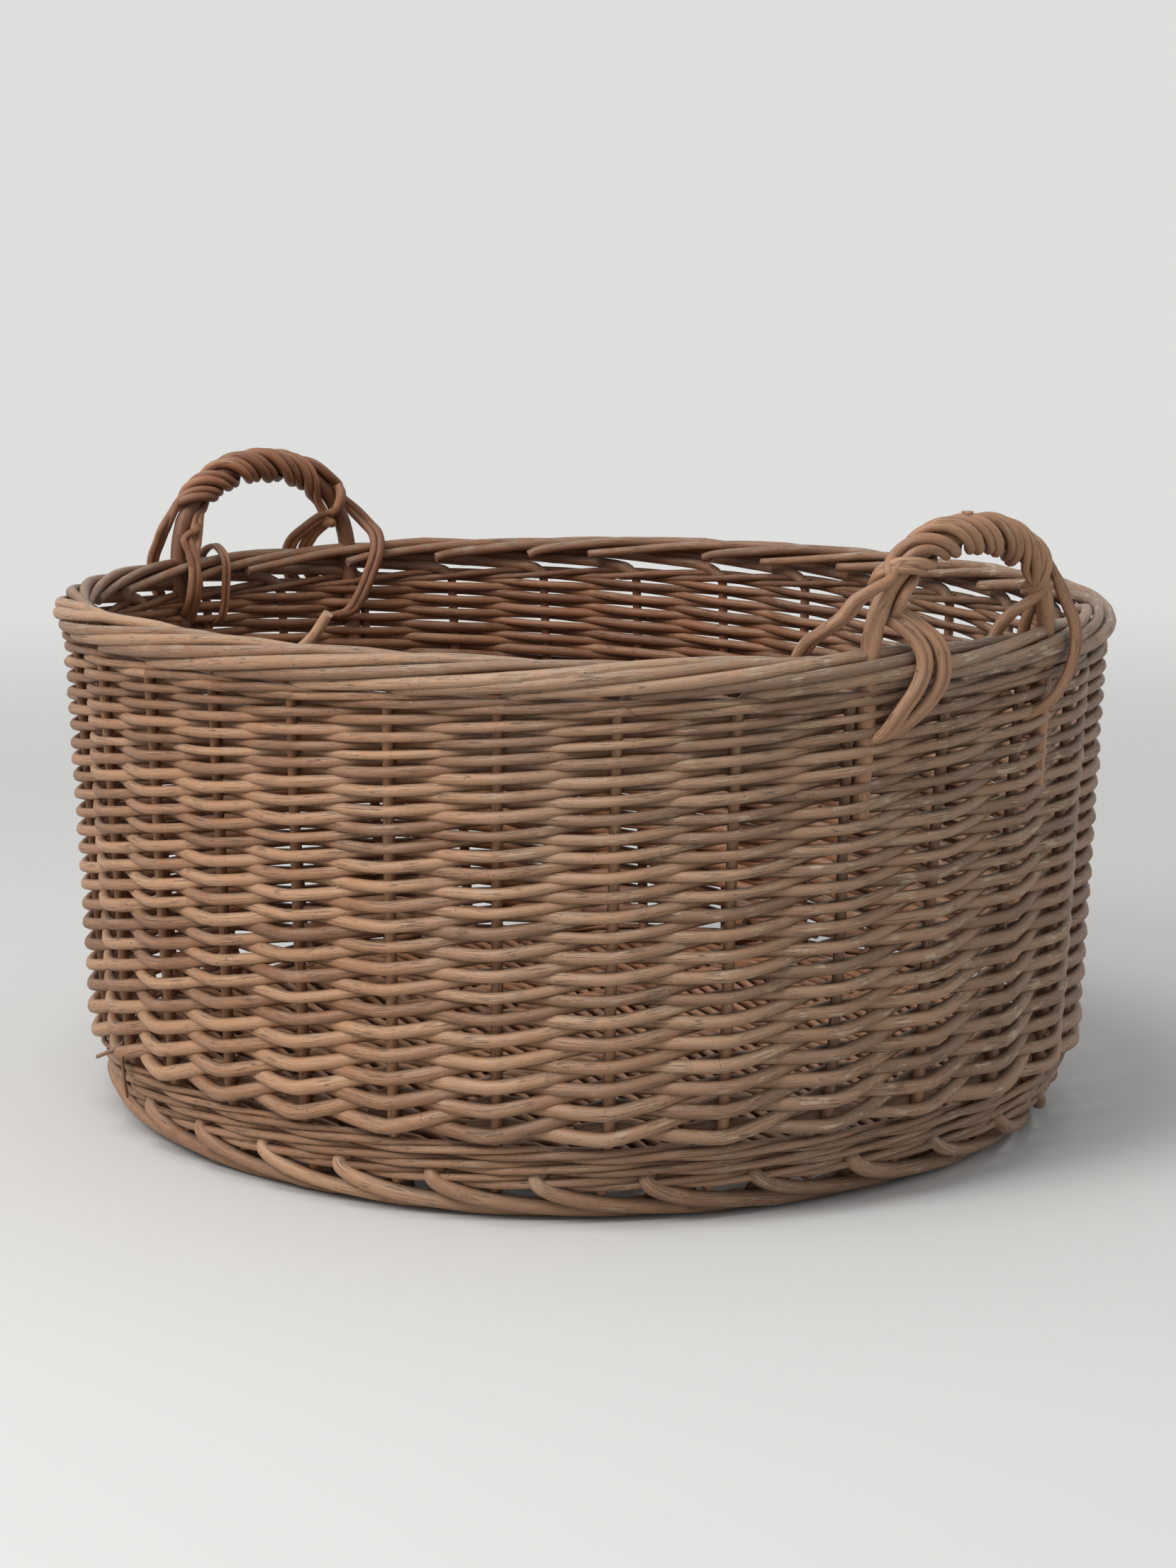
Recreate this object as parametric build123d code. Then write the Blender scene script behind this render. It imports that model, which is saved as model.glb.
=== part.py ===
from build123d import *
import os
from math import cos, pi, radians, sin, sqrt, tan

# An oval willow laundry basket with two roped bow handles. Millimetres, +Z up. The origin is on the
# ground under the basket's middle; the long axis is X and a handle stands at each end of it.

# Whole basket
RIM_HALF_LENGTH = 380.0  # to the middle of the border, along X
RIM_HALF_WIDTH = 335.0  # along Y
RIM_HEIGHT = 371.0  # top of the border
OVAL_POWER = 2.15  # 2 is an ellipse; more is fuller at the shoulders

# Bottom of the side, where the stakes leave the base, and the knee where the side straightens. Both
# are given as how far they lie inside the rim, so the side keeps its lean when the rim grows.
BASE_INSET_LENGTH = 47.0
BASE_INSET_WIDTH = 21.0
BASE_LEVEL = 22.0
KNEE_INSET_LENGTH = 24.0
KNEE_INSET_WIDTH = 9.0
KNEE_LEVEL = 64.0

# Side: upright stakes and the weave that holds them
STAKE_COUNT = 30
STAKE_SHIFT = 0.74  # first stake's distance round the rim from +X, in stake spacings
STAKE_DIAMETER = 6.6
WEAVE_THICKNESS = 18.0
RANDING_SETS = 3
TOP_WALE_HEIGHT = 11.0

# Border
BORDER_ROD_DIAMETER = 7.8
BORDER_OUTER_ROWS = 3
BORDER_INNER_ROWS = 2

# Foot
FOOT_INSET_LENGTH = 25.0  # the pegs' lower ends, on the ground, inside the base's edge
FOOT_INSET_WIDTH = 16.0
FOOT_ROD_DIAMETER = 9.4
FOOT_WEAR = 0.8  # how much the ground has worn off the lowest rods
PEG_DIAMETER = 5.0
PEG_DEPTH = 14.0  # how far a foot peg goes up into the lower wale
PEG_CLEARANCE = 2.5  # from the ground to the middle of a peg's lower end

# Base
BASE_WEAVE_BOTTOM = 28.0
BASE_WEAVE_THICKNESS = 16.0
LONG_STICK_COUNT = 3
LONG_STICK_DIAMETER = 6.0
LONG_STICK_SPACING = 16.0
CROSS_STICK_COUNT = 7
CROSS_STICK_DIAMETER = 12.0
CROSS_STICK_SPACING = 72.0

# Bow handles
BOW_DIAMETER = 14.0
BOW_RISE = 65.0  # from the rim to the middle of the bow at the top of its arch
BOW_SHOULDER_RADIUS = 72.0
BOW_LEG_DEPTH = 110.0  # length of leg pushed down beside a stake, from the rim
BOW_STAKES_APART = 2
BOW_SPREAD = 16.0  # added between the legs, past whole stake spacings
WRAP_DIAMETER = 22.0
TAIL_DIAMETER = 4.6
TAIL_LENGTH = 66.0

# Clearances
FIT_GAP = 0.3  # between a rod and what it passes through or lies against
LEG_GAP = 0.8  # left solid between a bow leg's hole and the hole of the stake beside it
ROUND_GAP = 0.8  # between a stake or peg and a border or foot rod that bends past it
TAIL_GAP = 1.4  # under a tail, which lies loose on the border and the side
COURSE_GAP = 0.4  # between one band of weaving and the next

KNEE_HALF_LENGTH = RIM_HALF_LENGTH - KNEE_INSET_LENGTH
KNEE_HALF_WIDTH = RIM_HALF_WIDTH - KNEE_INSET_WIDTH
BASE_HALF_LENGTH = RIM_HALF_LENGTH - BASE_INSET_LENGTH
BASE_HALF_WIDTH = RIM_HALF_WIDTH - BASE_INSET_WIDTH
FOOT_HALF_LENGTH = BASE_HALF_LENGTH - FOOT_INSET_LENGTH
FOOT_HALF_WIDTH = BASE_HALF_WIDTH - FOOT_INSET_WIDTH
BOW_TOP = RIM_HEIGHT + BOW_RISE
STAKE_RADIUS = STAKE_DIAMETER / 2
BORDER_ROD_RADIUS = BORDER_ROD_DIAMETER / 2
BORDER_PITCH = BORDER_ROD_DIAMETER + FIT_GAP
BORDER_OFFSET = STAKE_RADIUS + ROUND_GAP + BORDER_ROD_RADIUS
BORDER_BOTTOM = RIM_HEIGHT - BORDER_OUTER_ROWS * BORDER_PITCH
FOOT_ROD_RADIUS = FOOT_ROD_DIAMETER / 2
FOOT_ROD_LEVEL = FOOT_ROD_RADIUS - FOOT_WEAR
PEG_RADIUS = PEG_DIAMETER / 2
PEG_TOP = BASE_LEVEL + PEG_DEPTH
BOW_RADIUS = BOW_DIAMETER / 2
WRAP_RADIUS = WRAP_DIAMETER / 2
TAIL_RADIUS = TAIL_DIAMETER / 2
CURVE_STEPS = 1440
ROD_BEND = 60.0  # radius of the bend that a rod takes at a stake, a peg or the knee


def blend(low, high, share):
    return low + (high - low) * share


def side_axes(level):
    """Half length and half width of the middle of the side at a height."""
    if level < KNEE_LEVEL:
        share = (level - BASE_LEVEL) / (KNEE_LEVEL - BASE_LEVEL)
        return (
            blend(BASE_HALF_LENGTH, KNEE_HALF_LENGTH, share),
            blend(BASE_HALF_WIDTH, KNEE_HALF_WIDTH, share),
        )
    share = (level - KNEE_LEVEL) / (RIM_HEIGHT - KNEE_LEVEL)
    return (
        blend(KNEE_HALF_LENGTH, RIM_HALF_LENGTH, share),
        blend(KNEE_HALF_WIDTH, RIM_HALF_WIDTH, share),
    )


def signed_power(value, power):
    return abs(value) ** power * (1 if value >= 0 else -1)


def oval_point(angle, half_length, half_width):
    x = half_length * signed_power(cos(angle), 2 / OVAL_POWER)
    y = half_width * signed_power(sin(angle), 2 / OVAL_POWER)
    return Vector(x, y, 0)


def oval_normal(point, half_length, half_width):
    x = signed_power(point.X / half_length, OVAL_POWER - 1) / half_length
    y = signed_power(point.Y / half_width, OVAL_POWER - 1) / half_width
    return Vector(x, y, 0).normalized()


def rim_table():
    """Lengths along the rim from +X, one for each step of the angle."""
    lengths = [0.0]
    last = oval_point(0, RIM_HALF_LENGTH, RIM_HALF_WIDTH)
    for step in range(1, CURVE_STEPS + 1):
        here = oval_point(2 * pi * step / CURVE_STEPS, RIM_HALF_LENGTH, RIM_HALF_WIDTH)
        lengths.append(lengths[-1] + (here - last).length)
        last = here
    return lengths


RIM_LENGTHS = rim_table()
SPACING = RIM_LENGTHS[-1] / STAKE_COUNT


def angle_at(place):
    """Oval angle at a place round the rim, counted in stake spacings from +X."""
    wanted = (place % STAKE_COUNT) * SPACING
    step = max(i for i, length in enumerate(RIM_LENGTHS[:-1]) if length <= wanted)
    share = (wanted - RIM_LENGTHS[step]) / (RIM_LENGTHS[step + 1] - RIM_LENGTHS[step])
    return 2 * pi * (step + share) / CURVE_STEPS


def oval_place(place, axes, level, out=0.0):
    """A point of an oval at a place round it and a height, moved outwards."""
    flat = oval_point(angle_at(place), *axes)
    moved = flat + oval_normal(flat, *axes) * out
    return Vector(moved.X, moved.Y, level)


def side_point(place, level, out=0.0):
    return oval_place(place, side_axes(level), level, out)


def foot_axes(level):
    """Half length and half width of the line of pegs, which leans outwards as it rises."""
    top_length, top_width = side_axes(PEG_TOP)
    share = level / PEG_TOP
    return blend(FOOT_HALF_LENGTH, top_length, share), blend(FOOT_HALF_WIDTH, top_width, share)


def foot_offset():
    """Level distance from the pegs' middle line to a foot rod that touches them."""
    run = side_axes(PEG_TOP)[0] - FOOT_HALF_LENGTH
    lean = sqrt(run**2 + PEG_TOP**2) / PEG_TOP
    return (PEG_RADIUS + ROUND_GAP + FOOT_ROD_RADIUS) * lean


def foot_point(place, level, out=0.0):
    return oval_place(place, foot_axes(level), level, out)


def rounded_path(points, radius):
    """Straight runs joined by tangent arcs."""
    edges = []
    start = points[0]
    for before, corner, after in zip(points, points[1:], points[2:]):
        arriving = (corner - before).normalized()
        leaving = (after - corner).normalized()
        half_turn = radians(arriving.get_angle(leaving)) / 2
        room = 0.48 * min((corner - before).length, (after - corner).length)
        reach = min(radius * tan(half_turn), room)
        rise = reach / tan(half_turn) * (1 / cos(half_turn) - 1)
        inwards = (leaving - arriving).normalized()
        arc_start = corner - arriving * reach
        arc_end = corner + leaving * reach
        edges.append(Line(start, arc_start).edge())
        edges.append(ThreePointArc(arc_start, corner + inwards * rise, arc_end).edge())
        start = arc_end
    edges.append(Line(start, points[-1]).edge())
    return Wire(edges)


def rounded_ring(points, radius):
    """A closed loop of straight runs and tangent arcs, one arc at each point."""
    start = (points[-1] + points[0]) * 0.5
    return rounded_path([start, *points, start], radius)


def rod(path, radius):
    section = Plane(origin=path @ 0, z_dir=path % 0) * Circle(radius)
    return sweep(section, path=path)


def stake_places():
    return [index + STAKE_SHIFT for index in range(STAKE_COUNT)]


def peg_places():
    return [place + 0.5 for place in stake_places()]


def stake_path(place, top):
    points = [side_point(place, BASE_LEVEL), side_point(place, KNEE_LEVEL), side_point(place, top)]
    return rounded_path(points, ROD_BEND)


def stake(place):
    top = RIM_HEIGHT - BORDER_ROD_RADIUS
    return rod(stake_path(place, top), STAKE_RADIUS)


def oval_block(level_low, level_high, out):
    """The solid inside the side between two heights, with a corner at each stake."""
    faces = []
    for level in (level_low, level_high):
        corners = [side_point(place, level, out) for place in stake_places()]
        faces.append(make_face(Polyline(*corners, close=True)))
    return loft(faces, ruled=True)


def weave_band(level_low, level_high):
    """A closed band of weaving, before the rods that pass through it are cut."""
    half = WEAVE_THICKNESS / 2
    return oval_block(level_low, level_high, half) - oval_block(level_low, level_high, -half)


def stake_bores():
    above = RIM_HEIGHT + BORDER_PITCH
    below = BASE_LEVEL - BORDER_PITCH
    bores = []
    for place in stake_places():
        points = [side_point(place, below), side_point(place, KNEE_LEVEL), side_point(place, above)]
        bores.append(rod(rounded_path(points, ROD_BEND), STAKE_RADIUS + FIT_GAP))
    return bores


def bow_places(side):
    """The two legs of a bow, as places round the rim; side is 0 for +X and 1 for -X."""
    beside = (STAKE_RADIUS + BOW_RADIUS + 2 * FIT_GAP + LEG_GAP) / SPACING
    first = STAKE_SHIFT - BOW_STAKES_APART + beside + side * STAKE_COUNT / 2
    return first, first + BOW_STAKES_APART + BOW_SPREAD / SPACING


def bow_path(side, bottom):
    first, second = bow_places(side)
    points = [
        side_point(first, bottom),
        side_point(first, BOW_TOP),
        side_point(second, BOW_TOP),
        side_point(second, bottom),
    ]
    return rounded_path(points, BOW_SHOULDER_RADIUS)


def bow(side):
    return rod(bow_path(side, RIM_HEIGHT - BOW_LEG_DEPTH), BOW_RADIUS)


def bow_bores():
    depth = RIM_HEIGHT - BOW_LEG_DEPTH - COURSE_GAP
    return [rod(bow_path(side, depth), BOW_RADIUS + FIT_GAP) for side in (0, 1)]


def wrap(side):
    """The roping round a bow, from one side of the border over to the other."""
    path = bow_path(side, RIM_HEIGHT - BOW_LEG_DEPTH)
    reach = 4 * RIM_HALF_LENGTH
    border_top = RIM_HEIGHT + COURSE_GAP
    below = Pos(0, 0, border_top - RIM_HEIGHT / 2) * Box(reach, reach, RIM_HEIGHT)
    return rod(path, WRAP_RADIUS) - rod(path, BOW_RADIUS + FIT_GAP) - below


def tail(place):
    """An end of the roping: out over the border and down the outside."""
    clear = BORDER_OFFSET + BORDER_ROD_RADIUS + TAIL_GAP + TAIL_RADIUS
    against = WEAVE_THICKNESS / 2 + TAIL_GAP + TAIL_RADIUS
    over = RIM_HEIGHT + TAIL_GAP + TAIL_RADIUS
    points = [
        side_point(place, over),
        side_point(place, over, clear),
        side_point(place, BORDER_BOTTOM, clear),
        side_point(place, RIM_HEIGHT - TAIL_LENGTH, against),
    ]
    return rod(rounded_path(points, 2 * TAIL_DIAMETER), TAIL_RADIUS)


def tails(side):
    """Two ends beside one leg and one beside the other."""
    first, second = bow_places(side)
    beside = (WRAP_RADIUS + TAIL_RADIUS + TAIL_GAP) / SPACING
    places = [first - beside, first + beside, second + beside]
    return Compound(children=[tail(place) for place in places])


def border_rod(row, rows, side):
    """One round of the border; side is 1 outside the stakes and -1 inside."""
    middle = RIM_HEIGHT - BORDER_OUTER_ROWS * BORDER_PITCH / 2
    level = middle + (row - (rows - 1) / 2) * BORDER_PITCH
    out = side * BORDER_OFFSET
    corners = [side_point(place, level, out) for place in stake_places()]
    return rod(rounded_ring(corners, ROD_BEND), BORDER_ROD_RADIUS)


def foot_rod(side, row):
    """One round of the foot, worn flat underneath where it meets the ground."""
    level = FOOT_ROD_LEVEL + row * (FOOT_ROD_DIAMETER + FIT_GAP)
    corners = [foot_point(place, level, side * foot_offset()) for place in peg_places()]
    ring = rod(rounded_ring(corners, ROD_BEND), FOOT_ROD_RADIUS)
    if row > 0:
        return ring
    reach = 4 * FOOT_HALF_LENGTH
    ground = Pos(0, 0, -FOOT_ROD_DIAMETER / 2) * Box(reach, reach, FOOT_ROD_DIAMETER)
    return ring - ground


def peg_path(place, extra):
    """A foot peg runs from the foot up and outwards into the lower wale."""
    low = foot_point(place, PEG_CLEARANCE)
    high = side_point(place, BASE_LEVEL + PEG_DEPTH)
    direction = (high - low).normalized()
    return Line(low - direction * extra, high + direction * extra).edge()


def pegs(radius, extra=0.0):
    solids = []
    for place in peg_places():
        path = peg_path(place, extra)
        plane = Plane(origin=path @ 0, z_dir=path % 0)
        solids.append(extrude(plane * Circle(radius), path.length))
    return solids


def foot_pegs():
    return Compound(children=pegs(PEG_RADIUS))


def stick_row(count, spacing):
    return [(index - (count - 1) / 2) * spacing for index in range(count)]


BASE_STICK_LEVEL = BASE_WEAVE_BOTTOM + BASE_WEAVE_THICKNESS / 2


def base_reach(across, half_along, half_across):
    """How far the base runs along one axis at a distance across the other."""
    return half_along * (1 - (abs(across) / half_across) ** OVAL_POWER) ** (1 / OVAL_POWER)


def base_axes():
    half_length, half_width = side_axes(BASE_WEAVE_BOTTOM)
    inset = WEAVE_THICKNESS / 2 + COURSE_GAP
    return half_length - inset, half_width - inset


def long_stick(y, radius=LONG_STICK_DIAMETER / 2):
    half_length, half_width = base_axes()
    length = 2 * (base_reach(y, half_length, half_width) - BASE_WEAVE_THICKNESS)
    return Pos(0, y, BASE_STICK_LEVEL) * Rot(0, 90, 0) * Cylinder(radius, length)


def cross_stick(x, radius=CROSS_STICK_DIAMETER / 2):
    half_length, half_width = base_axes()
    length = 2 * (base_reach(x, half_width, half_length) - BASE_WEAVE_THICKNESS)
    return Pos(x, 0, BASE_STICK_LEVEL) * Rot(90, 0, 0) * Cylinder(radius, length)


def long_stick_bores():
    radius = LONG_STICK_DIAMETER / 2 + FIT_GAP
    return [long_stick(y, radius) for y in stick_row(LONG_STICK_COUNT, LONG_STICK_SPACING)]


def cross_sticks():
    """Thick sticks, split so that the long sticks pass through them."""
    sticks = [cross_stick(x) for x in stick_row(CROSS_STICK_COUNT, CROSS_STICK_SPACING)]
    return Compound(children=[stick - long_stick_bores() for stick in sticks])


def base_weave():
    """The oval of base weaving, with the sticks' own tunnels through it."""
    inset = WEAVE_THICKNESS / 2 + COURSE_GAP
    corners = [side_point(p, BASE_WEAVE_BOTTOM, -inset) for p in stake_places()]
    face = make_face(Polyline(*corners, close=True))
    plate = extrude(face, BASE_WEAVE_THICKNESS)
    radius = CROSS_STICK_DIAMETER / 2 + FIT_GAP
    rows = stick_row(CROSS_STICK_COUNT, CROSS_STICK_SPACING)
    return plate - [cross_stick(x, radius) for x in rows] - long_stick_bores()


def randing_levels():
    """Bottom and top of each set of siding, between the lower wale and the top wale."""
    low = KNEE_LEVEL
    high = BORDER_BOTTOM - TOP_WALE_HEIGHT
    each = (high - low) / RANDING_SETS
    return [(low + i * each, low + (i + 1) * each - COURSE_GAP) for i in range(RANDING_SETS)]


def make_parts():
    bores = stake_bores()
    bow_holes = bow_bores()
    wale = weave_band(BASE_LEVEL, KNEE_LEVEL - COURSE_GAP)
    peg_holes = pegs(PEG_RADIUS + FIT_GAP, PEG_DIAMETER)
    parts = {"lower_wale": wale - bores - peg_holes}
    for index, (low, high) in enumerate(randing_levels(), start=1):
        parts[f"randing_set_{index}"] = weave_band(low, high) - bores - bow_holes
    wale_bottom = BORDER_BOTTOM - TOP_WALE_HEIGHT
    parts["top_wale"] = weave_band(wale_bottom, BORDER_BOTTOM - COURSE_GAP) - bores - bow_holes
    for index, place in enumerate(stake_places(), start=1):
        parts[f"stake_{index:02d}"] = stake(place)
    for row in range(BORDER_OUTER_ROWS):
        ring = border_rod(row, BORDER_OUTER_ROWS, 1)
        parts[f"border_outer_rod_{row + 1}"] = ring - bow_holes
    for row in range(BORDER_INNER_ROWS):
        ring = border_rod(row, BORDER_INNER_ROWS, -1)
        parts[f"border_inner_rod_{row + 1}"] = ring - bow_holes
    parts["foot_outer_rod_lower"] = foot_rod(1, 0)
    parts["foot_outer_rod_upper"] = foot_rod(1, 1)
    parts["foot_inner_rod"] = foot_rod(-1, 0)
    parts["foot_pegs"] = foot_pegs()
    parts["base_weave"] = base_weave()
    parts["base_cross_sticks"] = cross_sticks()
    for index, y in enumerate(stick_row(LONG_STICK_COUNT, LONG_STICK_SPACING), start=1):
        parts[f"base_long_stick_{index}"] = long_stick(y)
    for side, name in ((0, "right"), (1, "left")):
        parts[f"{name}_handle_bow"] = bow(side)
        parts[f"{name}_handle_wrap"] = wrap(side)
        parts[f"{name}_handle_tails"] = tails(side)
    return parts


os.makedirs("parts", exist_ok=True)
for name, shape in make_parts().items():
    export_step(shape, f"parts/{name}.step")
    print(name, len(shape.solids()), round(shape.volume))
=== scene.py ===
# %% [markdown]
# # A willow laundry basket, rod by rod
# The design model gives the frame: where the stakes stand, how high each band of weaving reaches and where the
# bows are. It shows the weaving as plain bands. Here every band is taken away and woven again from rods, because
# the look of a basket is the look of its rods: each one bends round the stakes, tapers and has its own colour.

# %% Frame
import math

import bpy
import numpy as np
from mathutils import Matrix, Vector


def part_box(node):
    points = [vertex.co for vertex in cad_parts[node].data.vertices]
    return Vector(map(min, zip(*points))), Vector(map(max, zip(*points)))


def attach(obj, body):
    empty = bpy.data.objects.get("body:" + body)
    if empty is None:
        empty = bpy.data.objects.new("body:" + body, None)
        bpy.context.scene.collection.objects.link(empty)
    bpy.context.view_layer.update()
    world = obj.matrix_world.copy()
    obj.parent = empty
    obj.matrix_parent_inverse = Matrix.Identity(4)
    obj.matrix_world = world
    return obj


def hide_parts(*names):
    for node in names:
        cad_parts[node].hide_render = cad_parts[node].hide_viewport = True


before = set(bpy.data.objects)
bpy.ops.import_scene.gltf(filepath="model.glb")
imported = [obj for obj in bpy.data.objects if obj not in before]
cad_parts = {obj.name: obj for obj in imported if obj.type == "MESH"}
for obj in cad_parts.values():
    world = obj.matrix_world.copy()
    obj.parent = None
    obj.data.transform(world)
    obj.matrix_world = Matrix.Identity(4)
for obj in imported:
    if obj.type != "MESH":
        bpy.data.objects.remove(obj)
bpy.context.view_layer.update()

MM = 0.001

# %% [markdown]
# ## Floor, light and camera
# The basket stands on a pale seamless floor. A wide lamp on the left gives the soft side light that shows the
# roundness of rods, a pale world fills the shade, and a weaker lamp from behind keeps the far rim clear of it.

# %% Floor
bpy.ops.object.select_all(action="DESELECT")
bpy.ops.mesh.primitive_plane_add(size=60.0, location=(0, 0, -0.0005))
floor = bpy.context.object
floor.name = "floor"

floor_material = bpy.data.materials.new("pale_floor")
floor_material.use_nodes = True
floor_shader = floor_material.node_tree.nodes["Principled BSDF"]
floor_shader.inputs["Base Color"].default_value = (0.52, 0.52, 0.515, 1)
floor_shader.inputs["Roughness"].default_value = 0.9
floor_shader.inputs["Specular IOR Level"].default_value = 0.15
floor.data.materials.append(floor_material)

# the floor fades out with distance from the basket, so that no edge shows behind it
floor_nodes, floor_links = floor_material.node_tree.nodes, floor_material.node_tree.links
floor_place = floor_nodes.new("ShaderNodeTexCoord")
floor_distance = floor_nodes.new("ShaderNodeVectorMath")
floor_distance.operation = "LENGTH"
floor_fade = floor_nodes.new("ShaderNodeMapRange")
floor_fade.interpolation_type = "SMOOTHSTEP"
floor_fade.inputs["From Min"].default_value = 1.0
floor_fade.inputs["From Max"].default_value = 3.2
floor_clear = floor_nodes.new("ShaderNodeBsdfTransparent")
floor_mix = floor_nodes.new("ShaderNodeMixShader")
floor_links.new(floor_place.outputs["Object"], floor_distance.inputs[0])
floor_links.new(floor_distance.outputs["Value"], floor_fade.inputs["Value"])
floor_links.new(floor_fade.outputs["Result"], floor_mix.inputs["Fac"])
floor_links.new(floor_shader.outputs["BSDF"], floor_mix.inputs[1])
floor_links.new(floor_clear.outputs["BSDF"], floor_mix.inputs[2])
floor_links.new(floor_mix.outputs["Shader"], floor_nodes["Material Output"].inputs["Surface"])

# %% Lights
world = bpy.data.worlds.new("studio")
bpy.context.scene.world = world
world.use_nodes = True
world.node_tree.nodes["Background"].inputs["Color"].default_value = (0.735, 0.735, 0.725, 1)
world.node_tree.nodes["Background"].inputs["Strength"].default_value = 1.0
bpy.context.scene.view_settings.view_transform = "Standard"

VIEW_TURN = math.radians(48.42)  # how far round the basket the camera stands, from -Y towards +X


def round_basket(distance, turn, height):
    """A place at a distance from the basket, turned from the camera's side; positive is to the right."""
    angle = VIEW_TURN + math.radians(turn)
    return Vector((distance * math.sin(angle), -distance * math.cos(angle), height))


def area_lamp(name, place, size, power, colour):
    bpy.ops.object.light_add(type="AREA", location=place)
    lamp = bpy.context.object
    lamp.name = name
    lamp.data.shape = "DISK"
    lamp.data.size = size
    lamp.data.energy = power
    lamp.data.color = colour
    lamp.rotation_euler = (Vector((0, 0, 0.15)) - place).to_track_quat("-Z", "Y").to_euler()
    return lamp


area_lamp("key", round_basket(2.7, -48, 2.3), 1.4, 62, (1.0, 0.985, 0.965))
area_lamp("top", round_basket(1.3, -35, 3.1), 1.6, 44, (1.0, 0.99, 0.98))

# %% Camera
CAMERA_DISTANCE = 2.5832
CAMERA_HEIGHT = 0.6734
CAMERA_DIP = math.radians(9.784)
CAMERA_YAW = math.radians(-0.176)
CAMERA_ROLL = math.radians(-0.406)

heading = VIEW_TURN + CAMERA_YAW
forward = Vector((
    -math.sin(heading) * math.cos(CAMERA_DIP),
    math.cos(heading) * math.cos(CAMERA_DIP),
    -math.sin(CAMERA_DIP),
))
level_right = forward.cross(Vector((0, 0, 1))).normalized()
level_up = level_right.cross(forward)
right = math.cos(CAMERA_ROLL) * level_right + math.sin(CAMERA_ROLL) * level_up
up = -math.sin(CAMERA_ROLL) * level_right + math.cos(CAMERA_ROLL) * level_up
camera_data = bpy.data.cameras.new("camera")
camera_data.lens = 83.4
camera_data.sensor_width = 36.0
camera = bpy.data.objects.new("camera", camera_data)
bpy.context.scene.collection.objects.link(camera)
turned = Matrix((right, up, -forward)).transposed().to_4x4()
camera.matrix_world = Matrix.Translation(round_basket(CAMERA_DISTANCE, 0, CAMERA_HEIGHT)) @ turned
bpy.context.scene.camera = camera

# %% [markdown]
# ## The oval
# Every rod is laid out from three numbers: how far round the basket it is, counted in stakes, how high, and how
# far out from the middle of the side. The stakes stand at even steps along the rim. The size of the oval at each
# height is read from the boxes of the design's bands.

# %% Places round the basket
STAKES = 30
STAKE_SHIFT = 0.74
OVAL_POWER = 2.15
WEAVE_HALF = 9.0 * MM
BASE_INSET = 9.4 * MM
STAKE_RADIUS = 3.3 * MM

wale_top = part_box("lower_wale")[1]
base_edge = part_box("base_weave")
side_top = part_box("randing_set_3")[1]
RIM_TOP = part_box("border_outer_rod_3")[1][2]
LEVELS = [base_edge[0][2], wale_top[2], side_top[2]]
HALF_LENGTHS = [base_edge[1][0] + BASE_INSET, wale_top[0] - WEAVE_HALF, side_top[0] - WEAVE_HALF]
HALF_WIDTHS = [base_edge[1][1] + BASE_INSET, wale_top[1] - WEAVE_HALF, side_top[1] - WEAVE_HALF]


def through(levels, sizes, level):
    """A size at a height, in line with the sizes given, and past both ends of them."""
    low = np.where(level < levels[1], 0, 1)
    start, end = np.take(levels, low), np.take(levels, low + 1)
    share = (level - start) / (end - start)
    return np.take(sizes, low) * (1 - share) + np.take(sizes, low + 1) * share


def oval(angle, half_length, half_width):
    cosine, sine = np.cos(angle), np.sin(angle)
    x = half_length * np.sign(cosine) * np.abs(cosine) ** (2 / OVAL_POWER)
    y = half_width * np.sign(sine) * np.abs(sine) ** (2 / OVAL_POWER)
    return x, y


fine_angles = np.linspace(0, 2 * math.pi, 14401)
rim_length_there = through(LEVELS, HALF_LENGTHS, RIM_TOP)
rim_width_there = through(LEVELS, HALF_WIDTHS, RIM_TOP)
rim_x, rim_y = oval(fine_angles, rim_length_there, rim_width_there)
rim_run = np.concatenate([[0], np.cumsum(np.hypot(np.diff(rim_x), np.diff(rim_y)))])
SPACING = rim_run[-1] / STAKES
print("stakes", STAKES, "spaced", round(SPACING / MM, 1), "mm apart along the rim")


def basket_points(place, level, out):
    """Points from places round the basket (in stakes), heights and distances outwards, as arrays."""
    place, level, out = np.broadcast_arrays(*(np.asarray(v, float) for v in (place, level, out)))
    angle = np.interp((place % STAKES) * SPACING, rim_run, fine_angles)
    half_length = through(LEVELS, HALF_LENGTHS, level)
    half_width = through(LEVELS, HALF_WIDTHS, level)
    x, y = oval(angle, half_length, half_width)
    normal_x = np.sign(x) * np.abs(x / half_length) ** (OVAL_POWER - 1) / half_length
    normal_y = np.sign(y) * np.abs(y / half_width) ** (OVAL_POWER - 1) / half_width
    size = np.hypot(normal_x, normal_y)
    return np.stack([x + out * normal_x / size, y + out * normal_y / size, level], axis=-1)


# %% [markdown]
# ## A rod
# A curve with a round bevel would also make a rod. A mesh swept in code is used, because each rod needs a taper,
# buds, a length map that its bark can follow, and hundreds of rods pass each other with less than a millimetre
# between them. A rod's skin is a ring of corners at each point of its line, and its ends are cut flat.

# %% Rod maker
luck = np.random.default_rng(41)


def wander(count, waves, size):
    """A smooth unevenness along a rod."""
    along = np.linspace(0, 1, count)
    total = np.zeros(count)
    for wave in range(1, waves + 1):
        total += luck.normal() * np.sin(2 * math.pi * (wave * along * 0.5 + luck.random())) / math.sqrt(wave)
    return size * total / math.sqrt(waves)


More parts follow.
